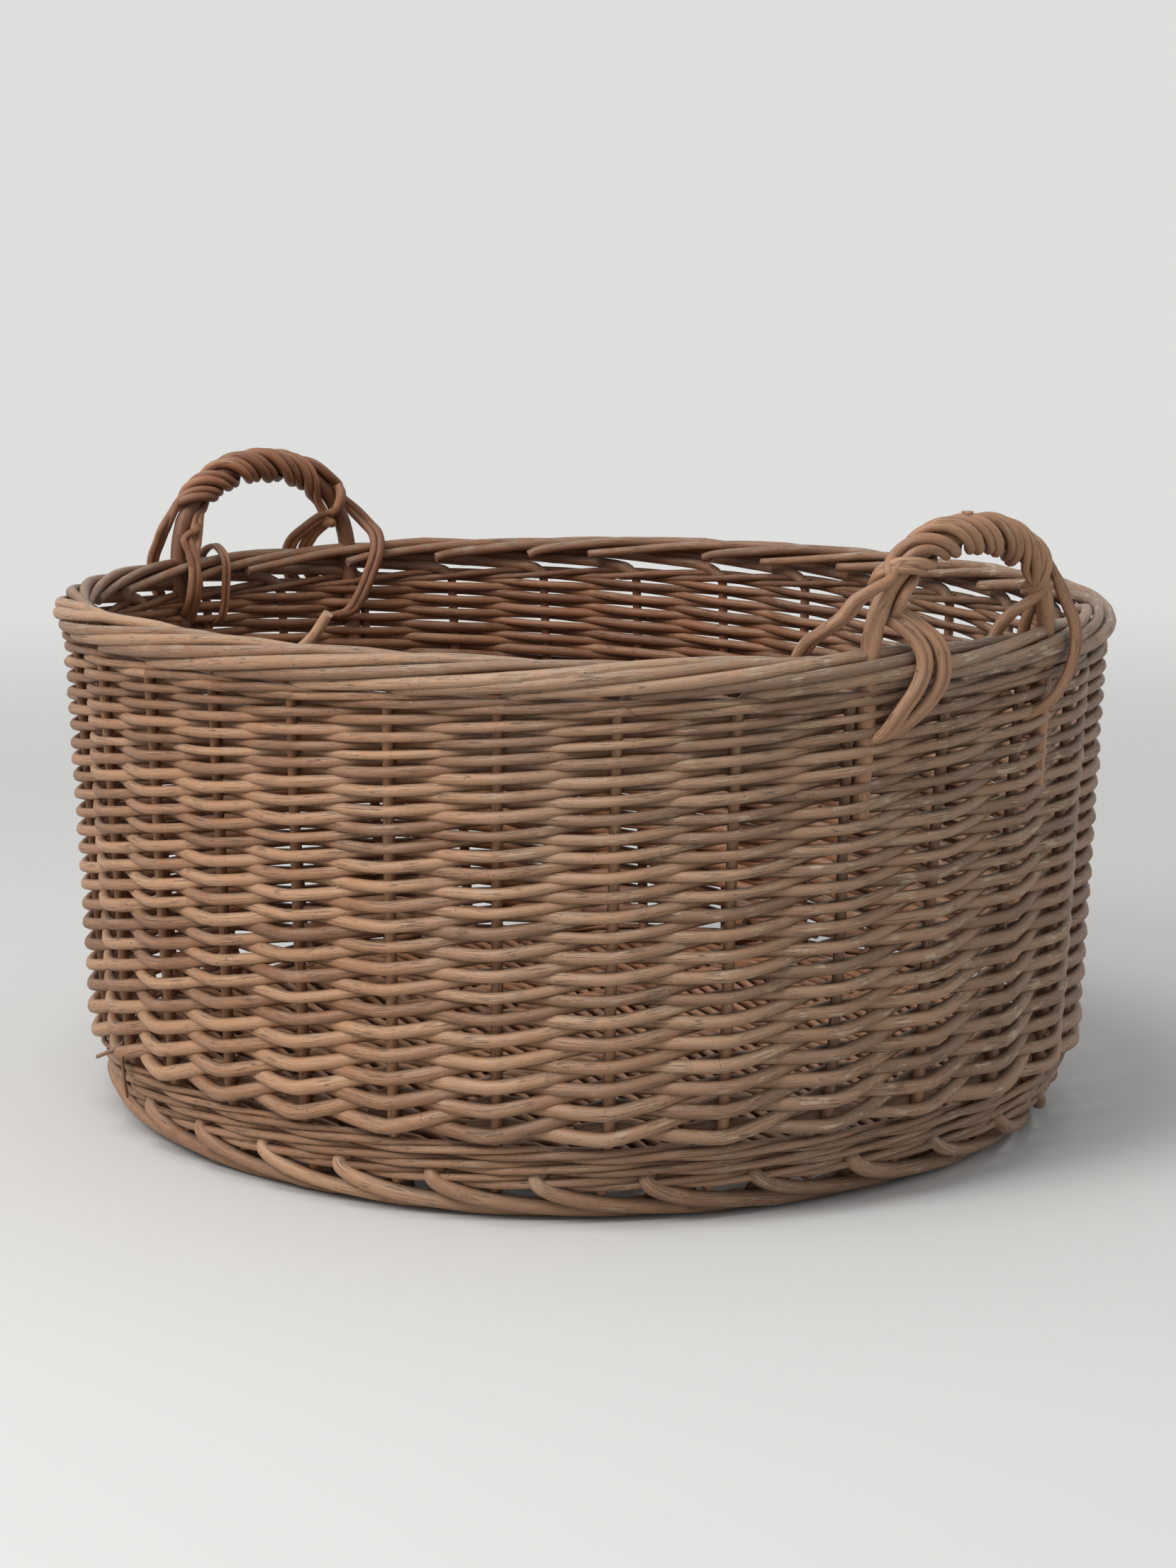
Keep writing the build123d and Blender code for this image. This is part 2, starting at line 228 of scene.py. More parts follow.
def smooth_line(knots, count):
    """A smooth curve through a few knots (one row each), sampled evenly by knot number."""
    knots = np.asarray(knots, float)
    padded = np.vstack([2 * knots[0] - knots[1], knots, 2 * knots[-1] - knots[-2]])
    spots = np.linspace(0, len(knots) - 1, count)
    index = np.minimum(spots.astype(int), len(knots) - 2)
    t = (spots - index)[:, None]
    a, b, c, d = (padded[index + step] for step in range(4))
    return 0.5 * (2 * b + (c - a) * t + (2 * a - 5 * b + 4 * c - d) * t**2 + (3 * b - a - 3 * c + d) * t**3)


def frames_along(line):
    """Two directions across the line at each point, turning no more than they must."""
    tangents = np.gradient(line, axis=0)
    tangents /= np.linalg.norm(tangents, axis=1)[:, None]
    start = np.array([0.0, 0.0, 1.0]) if abs(tangents[0][2]) < 0.9 else np.array([1.0, 0.0, 0.0])
    across = np.empty_like(line)
    current = start
    for i, tangent in enumerate(tangents):
        current = current - tangent * np.dot(current, tangent)
        current = current / np.linalg.norm(current)
        across[i] = current
    return tangents, across, np.cross(tangents, across)


def bark_radius(line, radius, taper=0.0, uneven=0.04):
    """Radii along a rod: a taper, slow unevenness, and a bud every few centimetres."""
    count = len(line)
    along = np.concatenate([[0], np.cumsum(np.linalg.norm(np.diff(line, axis=0), axis=1))])
    share = along / along[-1]
    radii = radius * (1 - taper * (share - 0.5)) * (1 + wander(count, 5, uneven))
    bud = luck.uniform(0.0, 0.09)
    while bud < along[-1]:
        radii *= 1 + luck.uniform(0.02, 0.10) * np.exp(-(((along - bud) / (3.2 * MM)) ** 2))
        bud += luck.uniform(0.05, 0.13)
    return radii


class RodSkin:
    """Collects the skins of one or more rods and makes one mesh object of them."""

    def __init__(self, sides=10):
        self.sides = sides
        self.corners, self.faces, self.maps, self.tones, self.cuts = [], [], [], [], []

    def add(self, line, radii, tone=None):
        line = np.asarray(line, float)
        radii = np.broadcast_to(np.asarray(radii, float), (len(line),))
        tone = luck.random() if tone is None else tone
        base, sides, rings = len(self.corners), self.sides, len(line)
        _, across, upwards = frames_along(line)
        turn = np.arange(sides) * 2 * math.pi / sides
        ring = np.cos(turn)[None, :, None] * across[:, None, :] + np.sin(turn)[None, :, None] * upwards[:, None, :]
        skin = line[:, None, :] + radii[:, None, None] * ring
        self.corners.extend(map(tuple, skin.reshape(-1, 3)))
        self.corners.extend([tuple(line[0]), tuple(line[-1])])
        self.tones.extend([tone] * (rings * sides + 2))
        start = luck.random() * 10
        along = start + np.concatenate([[0], np.cumsum(np.linalg.norm(np.diff(line, axis=0), axis=1))])
        for i in range(rings - 1):
            for j in range(sides):
                k = (j + 1) % sides
                low, high = base + i * sides, base + (i + 1) * sides
                self.faces.append((low + j, low + k, high + k, high + j))
                v0, v1 = j / sides, (j + 1) / sides
                self.maps += [(along[i], v0), (along[i], v1), (along[i + 1], v1), (along[i + 1], v0)]
                self.cuts.append(0.0)
        first, last = base + rings * sides, base + rings * sides + 1
        top = base + (rings - 1) * sides
        for j in range(sides):
            k = (j + 1) % sides
            self.faces.append((first, base + k, base + j))
            self.faces.append((last, top + j, top + k))
            self.maps += [(0, 0), (0.003, j / sides), (0.003, j / sides)] * 2
            self.cuts += [1.0, 1.0]

    def finish(self, name, material, nodes):
        mesh = bpy.data.meshes.new(name)
        mesh.from_pydata(self.corners, [], self.faces)
        layer = mesh.uv_layers.new(name="length_map")
        layer.data.foreach_set("uv", np.asarray(self.maps, np.float32).ravel())
        tone = mesh.attributes.new("tone", "FLOAT", "POINT")
        tone.data.foreach_set("value", np.asarray(self.tones, np.float32))
        cut = mesh.attributes.new("cut_end", "FLOAT", "FACE")
        cut.data.foreach_set("value", np.asarray(self.cuts, np.float32))
        mesh.polygons.foreach_set("use_smooth", [c == 0 for c in self.cuts])
        mesh.materials.append(material)
        piece = bpy.data.objects.new(name, mesh)
        bpy.context.scene.collection.objects.link(piece)
        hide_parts(*nodes)
        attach(piece, "root")
        return piece


def one_rod(name, line, radii, material, nodes, sides=10):
    skin = RodSkin(sides)
    skin.add(line, radii)
    return skin.finish(name, material, nodes)


# %% [markdown]
# ## Willow bark
# The rods are woven with their bark on, so the colour runs from tan to red brown and differs from rod to rod.
# Fine streaks follow the length of a rod, dark specks are its pores and buds, old rods are greyer, upward faces get a
# painted sheen from the light above and faces inside the basket get painted shade, and where the bark has dried it
# flakes off and shows paler wood. All of it follows the length map, so that the streaks turn with the rod, and only
# the weathering, the painted sheen and the painted shade depend on where on the basket the rod is and which way it
# faces.

# %% Bark material


def wire(tree, start, end):
    tree.links.new(start, end)


def add_node(tree, kind, **settings):
    node = tree.nodes.new(kind)
    for key, value in settings.items():
        setattr(node, key, value)
    return node


def colour_ramp(tree, source, stops):
    ramp = add_node(tree, "ShaderNodeValToRGB")
    elements = ramp.color_ramp.elements
    for index, (place, colour) in enumerate(stops):
        element = elements[index] if index < 2 else elements.new(place)
        element.position = place
        element.color = (*colour, 1)
    wire(tree, source, ramp.inputs["Fac"])
    return ramp.outputs["Color"]


def mix_colour(tree, share, low, high, kind="MIX"):
    mix = add_node(tree, "ShaderNodeMix", data_type="RGBA", blend_type=kind)
    for socket, value in ((mix.inputs[0], share), (mix.inputs[6], low), (mix.inputs[7], high)):
        if hasattr(value, "links"):
            wire(tree, value, socket)
        else:
            socket.default_value = value if isinstance(value, (int, float)) else (*value, 1)
    return mix.outputs[2]


def calculate(tree, kind, first, second=0.0, clamp=False):
    node = add_node(tree, "ShaderNodeMath", operation=kind, use_clamp=clamp)
    for socket, value in zip(node.inputs, (first, second)):
        if hasattr(value, "links"):
            wire(tree, value, socket)
        else:
            socket.default_value = value
    return node.outputs[0]


def remap(tree, source, low, high, to_low=0.0, to_high=1.0):
    node = add_node(tree, "ShaderNodeMapRange", clamp=True)
    wire(tree, source, node.inputs["Value"])
    for key, value in zip(("From Min", "From Max", "To Min", "To Max"), (low, high, to_low, to_high)):
        node.inputs[key].default_value = value
    return node.outputs["Result"]


def noise(tree, vector, scale, detail=3.0, roughness=0.6):
    node = add_node(tree, "ShaderNodeTexNoise")
    node.inputs["Scale"].default_value = scale
    node.inputs["Detail"].default_value = detail
    node.inputs["Roughness"].default_value = roughness
    wire(tree, vector, node.inputs["Vector"])
    return node.outputs["Fac"]


def bark_material(name, warm=0.0, grey=0.0, flake=0.0, sun=1.0):
    """Willow bark; warm reddens it, grey greys it evenly and strengthens the painted sheen on upward faces, flake
    sheds it, sun bleaches one end of the basket.
    """
    material = bpy.data.materials.new(name)
    material.use_nodes = True
    tree = material.node_tree
    shader = tree.nodes["Principled BSDF"]
    coordinates = add_node(tree, "ShaderNodeTexCoord")
    tone = add_node(tree, "ShaderNodeAttribute", attribute_name="tone").outputs["Fac"]
    cut_end = add_node(tree, "ShaderNodeAttribute", attribute_name="cut_end").outputs["Fac"]
    # the length map in millimetre-like steps: along the rod, and round it
    stretch = add_node(tree, "ShaderNodeMapping")
    stretch.inputs["Scale"].default_value = (60, 22, 1)
    wire(tree, coordinates.outputs["UV"], stretch.inputs["Vector"])
    streaks = noise(tree, stretch.outputs["Vector"], 1.0, 4.0, 0.65)
    place = coordinates.outputs["Object"]
    blotches = noise(tree, place, 55.0, 3.0, 0.55)
    patches = noise(tree, place, 14.0, 2.0, 0.5)
    fine = noise(tree, place, 900.0, 2.0, 0.6)

    mixed = calculate(tree, "MULTIPLY_ADD", tone, 0.30)
    tree.nodes[-1].inputs[2].default_value = 0.12
    mixed = calculate(tree, "ADD", mixed, calculate(tree, "MULTIPLY", blotches, 0.24))
    mixed = calculate(tree, "ADD", mixed, calculate(tree, "MULTIPLY", streaks, 0.28))
    bark = colour_ramp(tree, mixed, [
        (0.20, (0.075, 0.032, 0.015)),
        (0.80, (0.500, 0.305, 0.175)),
        (0.38, (0.190, 0.088, 0.042)),
        (0.52, (0.300, 0.152, 0.078)),
        (0.66, (0.395, 0.220, 0.120)),
    ])
    bark = mix_colour(tree, remap(tree, patches, 0.45, 0.75, 0.0, 0.35), bark, (0.36, 0.20, 0.12), "MIX")

    geometry = add_node(tree, "ShaderNodeNewGeometry")
    split_normal = add_node(tree, "ShaderNodeSeparateXYZ")
    wire(tree, geometry.outputs["Normal"], split_normal.inputs["Vector"])
    split_place = add_node(tree, "ShaderNodeSeparateXYZ")
    wire(tree, place, split_place.inputs["Vector"])

    # painted shade: faces that look into the basket are darkened and made redder, standing in for the shade inside it
    inwards = add_node(tree, "ShaderNodeVectorMath", operation="DOT_PRODUCT")
    flat_place = add_node(tree, "ShaderNodeCombineXYZ")
    wire(tree, split_place.outputs["X"], flat_place.inputs["X"])
    wire(tree, split_place.outputs["Y"], flat_place.inputs["Y"])
    wire(tree, flat_place.outputs["Vector"], inwards.inputs[0])
    wire(tree, geometry.outputs["Normal"], inwards.inputs[1])
    inside = remap(tree, inwards.outputs["Value"], 0.08, -0.16)
    bark = mix_colour(tree, calculate(tree, "MULTIPLY", inside, 0.75), bark, (0.60, 0.40, 0.30), "MULTIPLY")

    # painted sheen: upward faces are greyed and lightened in patches, standing in for the light falling on them from
    # above; the grey setting also greys the whole rod evenly
    upward = remap(tree, split_normal.outputs["Z"], 0.15, 0.95)
    greying_and_top_sheen = calculate(tree, "MULTIPLY", upward, remap(tree, blotches, 0.38, 0.62))
    greying_and_top_sheen = calculate(tree, "MULTIPLY_ADD", greying_and_top_sheen, 0.35 + grey)
    tree.nodes[-1].inputs[2].default_value = grey * 0.35
    bark = mix_colour(tree, greying_and_top_sheen, bark, (0.285, 0.235, 0.185))

    # one end of the basket has stood in the sun: its bark is grey and comes off in pale flakes
    sunny = calculate(tree, "MULTIPLY_ADD", split_place.outputs["Y"], 0.45)
    wire(tree, split_place.outputs["X"], tree.nodes[-1].inputs[2])
    sunny = calculate(tree, "ADD", sunny, calculate(tree, "MULTIPLY", patches, 0.35))
    sun_side = remap(tree, sunny, 0.16, 0.62, 0.0, sun)
    bark = mix_colour(tree, calculate(tree, "MULTIPLY", sun_side, 0.55), bark, (0.200, 0.150, 0.110))
    peel = add_node(tree, "ShaderNodeMapping")
    peel.inputs["Scale"].default_value = (38, 5, 1)
    wire(tree, coordinates.outputs["UV"], peel.inputs["Vector"])
    flaking = calculate(tree, "MULTIPLY", noise(tree, peel.outputs["Vector"], 1.0, 5.0, 0.75), 0.7)
    flaking = calculate(tree, "ADD", flaking, calculate(tree, "MULTIPLY", blotches, 0.3))
    flaking = remap(tree, flaking, 0.545, 0.585)
    flaked = calculate(tree, "MULTIPLY", flaking, calculate(tree, "MULTIPLY_ADD", sun_side, 0.8, clamp=True))
    tree.nodes[-2].inputs[2].default_value = flake
    bark = mix_colour(tree, flaked, bark, (0.46, 0.36, 0.255))

    # creases where the bark has dried and shrunk along the rod; their dark colour is partly the bark's own and partly
    # painted shade in the grooves
    shrink = add_node(tree, "ShaderNodeMapping")
    shrink.inputs["Scale"].default_value = (17, 11, 1)
    wire(tree, coordinates.outputs["UV"], shrink.inputs["Vector"])
    crease_noise = noise(tree, shrink.outputs["Vector"], 1.0, 3.0, 0.5)
    creases = remap(tree, calculate(tree, "ABSOLUTE", calculate(tree, "SUBTRACT", crease_noise, 0.5)), 0.004, 0.020, 1.0, 0.0)
    creases = calculate(tree, "MULTIPLY", creases, remap(tree, blotches, 0.42, 0.60))
    bark = mix_colour(tree, calculate(tree, "MULTIPLY", creases, 0.62), bark, (0.070, 0.038, 0.024))

    # pores and buds
    speck = add_node(tree, "ShaderNodeTexVoronoi")
    speck.inputs["Scale"].default_value = 330.0
    wire(tree, place, speck.inputs["Vector"])
    specks = remap(tree, speck.outputs["Distance"], 0.10, 0.24, 1.0, 0.0)
    crowd = remap(tree, noise(tree, place, 70.0, 2.0, 0.5), 0.54, 0.66)
    specks = calculate(tree, "MULTIPLY", specks, crowd)
    bark = mix_colour(tree, calculate(tree, "MULTIPLY", specks, 0.8), bark, (0.055, 0.032, 0.022))
    bark = mix_colour(tree, remap(tree, fine, 0.3, 0.7, 0.0, 0.30), bark, (0.62, 0.58, 0.55), "MULTIPLY")
    if warm:
        bark = mix_colour(tree, warm, bark, (1.0, 0.80, 0.66), "MULTIPLY")

    # freshly cut ends show the pale wood
    bark = mix_colour(tree, cut_end, bark, (0.30, 0.20, 0.13))
    wire(tree, bark, shader.inputs["Base Color"])
    rough = remap(tree, blotches, 0.3, 0.7, 0.42, 0.60)
    wire(tree, rough, shader.inputs["Roughness"])
    shader.inputs["Specular IOR Level"].default_value = 0.42

    ridges = calculate(tree, "ADD", calculate(tree, "MULTIPLY", streaks, 0.7), calculate(tree, "MULTIPLY", fine, 0.25))
    ridges = calculate(tree, "SUBTRACT", ridges, calculate(tree, "MULTIPLY", specks, 0.5))
    ridges = calculate(tree, "ADD", ridges, calculate(tree, "MULTIPLY", flaked, 0.4))
    ridges = calculate(tree, "SUBTRACT", ridges, calculate(tree, "MULTIPLY", creases, 0.8))
    bump = add_node(tree, "ShaderNodeBump")
    bump.inputs["Strength"].default_value = 0.75
    bump.inputs["Distance"].default_value = 0.0007
    wire(tree, ridges, bump.inputs["Height"])
    wire(tree, bump.outputs["Normal"], shader.inputs["Normal"])
    return material


weave_bark = bark_material("weave_bark")
stake_bark = bark_material("stake_bark", warm=0.35)
border_bark = bark_material("border_bark", grey=0.30, flake=0.05)
foot_bark = bark_material("foot_bark", grey=0.05)
handle_bark = bark_material("handle_bark", warm=0.35, grey=0.10, sun=0.35)
base_bark = bark_material("base_bark", warm=0.4)

# %% [markdown]
# ## Stakes
# Thirty upright rods carry the side. They lean out with it, and turn in under the lower wale to the base. The
# weaving pulls each one a little this way and that, so they aren't quite straight.

# %% Stakes
BORDER_FOOT = 30 * MM  # height of the border
for index in range(STAKES):
    place = index + STAKE_SHIFT
    count = 46
    level = np.linspace(LEVELS[0] - 8 * MM, RIM_TOP - BORDER_FOOT + 2 * MM, count)
    line = basket_points(place + wander(count, 3, 0.012), level, wander(count, 4, 0.5 * MM))
    radii = bark_radius(line, STAKE_RADIUS * 1.18, 0.15)
    one_rod(f"stake_rod_{index + 1:02d}", line, radii, stake_bark, [f"stake_{index + 1:02d}"])
print("stakes made", STAKES)

# %% [markdown]
# ## The side: French randing
# One weaver starts behind each stake. It goes in front of the next stake, behind the one after, and so on, and
# climbs one course for every two stakes. So at every stake the rods in front are one course apart, and the rods
# behind lie half a course between them. The courses get closer towards the rim, because the rods get thinner.
# A weaver is used up three times on the way, and the new rod starts inside, beside the old one's tip.

# %% Courses
LOW_COURSE = 15.6 * MM
HIGH_COURSE = 10.6 * MM
RANDING_BOTTOM = 58.5 * MM
RANDING_TOP = RIM_TOP - BORDER_FOOT - 8 * MM


def course_at(level):
    share = (level - RANDING_BOTTOM) / (RANDING_TOP - RANDING_BOTTOM)
    return LOW_COURSE + (HIGH_COURSE - LOW_COURSE) * share


step_levels = [RANDING_BOTTOM]
while step_levels[-1] < RANDING_TOP:
    step_levels.append(step_levels[-1] + course_at(step_levels[-1]) / 2)
STEPS = len(step_levels) - 1
print("a weaver passes", STEPS, "stakes on its way up")


def weaver_level(steps):
    return np.interp(steps, range(STEPS + 1), step_levels)


def weaver_line(start_stake, steps):
    """The line of a weaver from its starting stake, at a number of stakes travelled."""
    level = weaver_level(steps)
    course = course_at(level)
    swing = np.cos(math.pi * steps)
    straight = np.arcsin(0.985 * swing) / math.asin(0.985)
    reach = STAKE_RADIUS * 1.12 + course * 0.27
    out = -reach * (0.5 * swing + 0.5 * straight) + wander(len(steps), 9, 0.5 * MM)
    height = np.clip((level - RANDING_BOTTOM) / (RANDING_TOP - RANDING_BOTTOM), 0, 1)
    droop = np.interp(height, (0, 0.12, 0.5, 0.75, 0.90), (0.42, 0.22, 0.15, 0.13, -0.04))
    level = level + droop * course * straight + wander(len(steps), 12, 0.065) * course
    return basket_points(start_stake + STAKE_SHIFT + steps, level, out), course


# %% Weavers
SET_COUNT = 3
POINTS_A_STEP = 11
joins = [0, *(2 * round(STEPS * part / SET_COUNT / 2) for part in range(1, SET_COUNT)), STEPS]
for number in range(SET_COUNT):
    for stake in range(STAKES):
        start = joins[number] - 0.30
        end = joins[number + 1] + luck.uniform(0.12, 0.30)
        steps = np.linspace(start, end, int((end - start) * POINTS_A_STEP))
        line, course = weaver_line(stake, steps)
        tuck = np.clip((steps - start) / 0.55, 0, 1)
        inwards = line.copy()
        inwards[:, :2] *= (1 - 0.012 * (1 - tuck) ** 2)[:, None]
        thickness = course * 0.305 * luck.normal(1.0, 0.06)
        radii = thickness * bark_radius(inwards, 1.0, 0.10, 0.03)
        one_rod(
            f"randing_rod_{number + 1}_{stake + 1:02d}", inwards, radii, weave_bark,
            [f"randing_set_{number + 1}"],
        )
print("weavers made", SET_COUNT * STAKES)

# %% [markdown]
# ## Wales
# A wale is a round of three thin rods worked together. Each goes in front of two stakes and behind one, rising a
# little as it passes, so it shows as long lenses that overlap. Three rounds start the side, where it turns up
# from the base, and one finishes it under the border.

# %% Wale rounds
WALE_RADIUS = 2.55 * MM
LOW_WALE_LEVELS = [27.5 * MM, 37.5 * MM, 47.5 * MM]
TOP_WALE_LEVEL = RIM_TOP - BORDER_FOOT - 1.5 * MM
out_knots = np.array([-1.0, -0.15, 1.0, 1.12, 1.0, -0.15])


def wale_out(phase):
    """Distance outwards over the three stakes of one stroke, as a share of the reach."""
    spots = (phase % 3) * 2
    index = spots.astype(int)
    t = spots - index
    a, b, c, d = (out_knots[(index + step) % 6] for step in (-1, 0, 1, 2))
    return 0.5 * (2 * b + (c - a) * t + (2 * a - 5 * b + 4 * c - d) * t**2 + (3 * b - a - 3 * c + d) * t**3)


def wale_round(name, level, nodes, radius):
    for rod_number in range(3):
        seam = luck.integers(0, 10) * 3 - rod_number
        travelled = np.linspace(-0.1, STAKES + 0.1, STAKES * 9)
        phase = travelled + rod_number + seam
        reach = STAKE_RADIUS + radius * 0.95
        out = wale_out(phase) * reach + wander(len(phase), 10, 0.35 * MM)
        lift = -1.12 * radius * np.sin(2 * math.pi * phase / 3) + wander(len(phase), 14, 0.5 * MM)
        line = basket_points(travelled + STAKE_SHIFT + seam, level + lift, out)
        radii = bark_radius(line, radius * luck.normal(1.0, 0.06), 0.1, 0.05)
        one_rod(f"{name}_{rod_number + 1}", line, radii, weave_bark, nodes, sides=8)


for row, level in enumerate(LOW_WALE_LEVELS, start=1):
    wale_round(f"lower_wale_rod_{row}", level, ["lower_wale"], WALE_RADIUS)
wale_round("top_wale_rod", TOP_WALE_LEVEL, ["top_wale"], WALE_RADIUS)

# %% [markdown]
# ## Border
# At the top each stake is bent over to the right. It runs up the outside past three stakes, lies over the top and
# goes down inside past two more, where its tip is cut off. Thirty of them, one after another, make a thick roll
# that slants up to the right outside and down inside. The shape of one is a few knots, and all of them use it.

# %% Border rods
BORDER_RADIUS = 3.9 * MM
border_knots = [  # stakes travelled, millimetres outwards, millimetres below the rim's top
    (0.00, 0.0, 34.0),
    (0.12, 1.5, 26.5),
    (0.50, 5.2, 22.8),
    (1.00, 8.0, 19.6),
    (1.50, 9.4, 16.3),
    (2.00, 8.9, 12.8),
    (2.50, 7.0, 9.4),
    (3.00, 3.0, 6.2),
    (3.50, -2.0, 4.4),
    (4.00, -6.5, 5.6),
    (4.50, -9.0, 9.0),
    (5.00, -10.0, 13.0),
    (5.40, -10.2, 16.5),
]
border_nodes = [f"border_outer_rod_{row}" for row in (1, 2, 3)] + [f"border_inner_rod_{row}" for row in (1, 2)]
for index in range(STAKES):
    knots = np.array(border_knots)
    knots[-1][0] += luck.uniform(-0.25, 0.15)
    knots[2:-3, 0] += luck.normal(0, 0.10)
    knots[8:, 2] += luck.normal(0, 1.0)
    shape = smooth_line(knots, 84)
    count = len(shape)
    out = shape[:, 1] * MM + wander(count, 4, 0.7 * MM)
    level = RIM_TOP - shape[:, 2] * MM + wander(count, 5, 0.9 * MM)
    line = basket_points(index + STAKE_SHIFT + shape[:, 0], np.minimum(level, RIM_TOP - BORDER_RADIUS), out)
    radii = bark_radius(line, BORDER_RADIUS * luck.normal(1.02, 0.07), 0.2)
    one_rod(f"border_rod_{index + 1:02d}", line, radii, border_bark, border_nodes, sides=12)

# %% [markdown]
# ## Foot
# The foot is a second, lower border. Short pegs go up into the wale, and a thick rod beside each one comes out
# from under the wale, swings down to the ground, runs along it past two pegs and is tucked up inside. The pegs
# are the design's own and only need their finish.

# %% Foot rods
FOOT_RADIUS = 4.9 * MM
foot_knots = [  # pegs travelled, millimetres outwards, millimetres above the ground
    (-0.02, -7.0, 33.0),
    (-0.10, 1.5, 31.0),
    (-0.05, 7.4, 25.5),
    (0.15, 9.8, 19.0),
    (0.50, 9.4, 12.8),
    (1.00, 7.6, 8.6),
    (1.50, 5.0, 5.8),
    (2.00, 0.8, 4.9),
    (2.50, -4.2, 4.9),
    (3.00, -9.4, 6.6),
    (3.50, -12.4, 10.5),
]
foot_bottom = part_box("foot_outer_rod_lower")[1]
foot_level = (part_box("foot_outer_rod_lower")[0][2] + foot_bottom[2]) / 2
foot_inset = basket_points(0, foot_level, 0)[0] - (foot_bottom[0] - FOOT_RADIUS)
print("the foot stands", round(float(foot_inset) / MM, 1), "mm inside the line of the side")
for index in range(STAKES):
    shape = smooth_line(foot_knots, 60)
    count = len(shape)
    level = shape[:, 2] * MM + np.abs(wander(count, 4, 0.3 * MM))
    lean = np.clip((26 * MM - level) / (26 * MM - foot_level), 0, 1)
    out = shape[:, 1] * MM + wander(count, 4, 0.6 * MM) - lean * (foot_inset + 6 * MM) + 1.0 * MM
    line = basket_points(index + 0.5 + STAKE_SHIFT + shape[:, 0], level, out)
    radii = bark_radius(line, FOOT_RADIUS * luck.normal(0.97, 0.08), 0.25)
    one_rod(
        f"foot_rod_{index + 1:02d}", line, radii, foot_bark,
        ["foot_outer_rod_lower", "foot_outer_rod_upper", "foot_inner_rod"], sides=12,
    )

# %% [markdown]
# ## Base
# Seven split sticks lie across the base with three long ones through them, which are the design's own. Straight
# rods are woven over and under the cross sticks, and trimmed where they meet the side.

# %% Base weaving
ROD_PITCH = 6.3 * MM
stick_level = (base_edge[0][2] + base_edge[1][2]) / 2
cross_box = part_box("base_cross_sticks")
CROSS_STICKS = 7
cross_radius = (cross_box[1][2] - cross_box[0][2]) / 2
cross_step = (cross_box[1][0] - cross_box[0][0] - 2 * cross_radius) / (CROSS_STICKS - 1)
base_skin = RodSkin(sides=8)
rows = int(base_edge[1][1] / ROD_PITCH)
for row in range(-rows, rows + 1):
    y = row * ROD_PITCH
    room = 1 - (abs(y) / base_edge[1][1]) ** OVAL_POWER
    if room < 0.03:
        continue
    reach = base_edge[1][0] * room ** (1 / OVAL_POWER) + 3 * MM
    x = np.linspace(-reach, reach, max(12, int(reach / (5 * MM))))
    wave = np.cos(math.pi * x / cross_step) * (1 if row % 2 else -1)
    z = stick_level + wave * (cross_radius + 2.0 * MM) + wander(len(x), 6, 0.4 * MM)
    line = np.stack([x, np.full_like(x, y) + wander(len(x), 5, 0.5 * MM), z], axis=-1)
    base_skin.add(line, bark_radius(line, 2.75 * MM, 0.1))
base_skin.finish("base_rods", base_bark, ["base_weave"])
for node in ("base_cross_sticks", "base_long_stick_1", "base_long_stick_2", "base_long_stick_3", "foot_pegs"):
    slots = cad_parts[node].data.materials
    slots.clear()
    slots.append(stake_bark)

# %% [markdown]
# ## Bow handles
# A bow is a thick rod bent into an arch, with its legs pushed down beside stakes. Three pairs of thin rods are
# roped round it from one side to the other, and their ends are carried over the border and tucked into the side.
# The arch is read from the design's box, and each roping rod is one line: down its tail, up round the arch as a
# helix, and down its other tail. The tails' knots are given one by one, because no two lie alike.

# %% Arch
BOW_RADIUS = 6.2 * MM
DESIGN_BOW_RADIUS = 7.0 * MM
ARCH_POWER = 2.25
bow_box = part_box("right_handle_bow")
leg_low, leg_high = bow_box[0][1] + DESIGN_BOW_RADIUS, bow_box[1][1] - DESIGN_BOW_RADIUS
ARCH_TOP = bow_box[1][2] - DESIGN_BOW_RADIUS
ARCH_SPRING = RIM_TOP - 12 * MM
bow_middle, bow_half = (leg_low + leg_high) / 2, (leg_high - leg_low) / 2


def end_x(y, level):
    """How far along X the side is at a distance y from the middle."""
    half_length = through(LEVELS, HALF_LENGTHS, level)
    half_width = through(LEVELS, HALF_WIDTHS, level)
    return half_length * (1 - (np.abs(y) / half_width) ** OVAL_POWER) ** (1 / OVAL_POWER)


def arch_line(count, leg_bottom):
    """The middle of the bow, from the bottom of its first leg over to the bottom of its second."""
    turn = np.linspace(math.pi, 0, 160)
    y = bow_middle + bow_half * np.sign(np.cos(turn)) * np.abs(np.cos(turn)) ** (2 / ARCH_POWER)
    z = ARCH_SPRING + (ARCH_TOP - ARCH_SPRING) * np.abs(np.sin(turn)) ** (2 / ARCH_POWER)
    legs = np.linspace(leg_bottom, ARCH_SPRING, 12, endpoint=False)
    y = np.concatenate([np.full(12, y[0]), y, np.full(12, y[-1])])
    z = np.concatenate([legs, z, legs[::-1]])
    line = np.stack([end_x(bow_half, z), y, z], axis=-1)
    gaps = np.concatenate([[0], np.cumsum(np.linalg.norm(np.diff(line, axis=0), axis=1))])
    even = np.linspace(0, gaps[-1], count)
    return np.stack([np.interp(even, gaps, line[:, axis]) for axis in range(3)], axis=-1)


# %% [markdown]
# ## Roping
# Three pairs of thin rods go round the bow side by side. Each leaves the bow just above the border, on
# the side it happens to be on, and its tail runs over the border outside or inside, and ends in the weaving. In
# the tables a tail is a few knots: along the rim from the leg, outwards, and down from the rim's top.

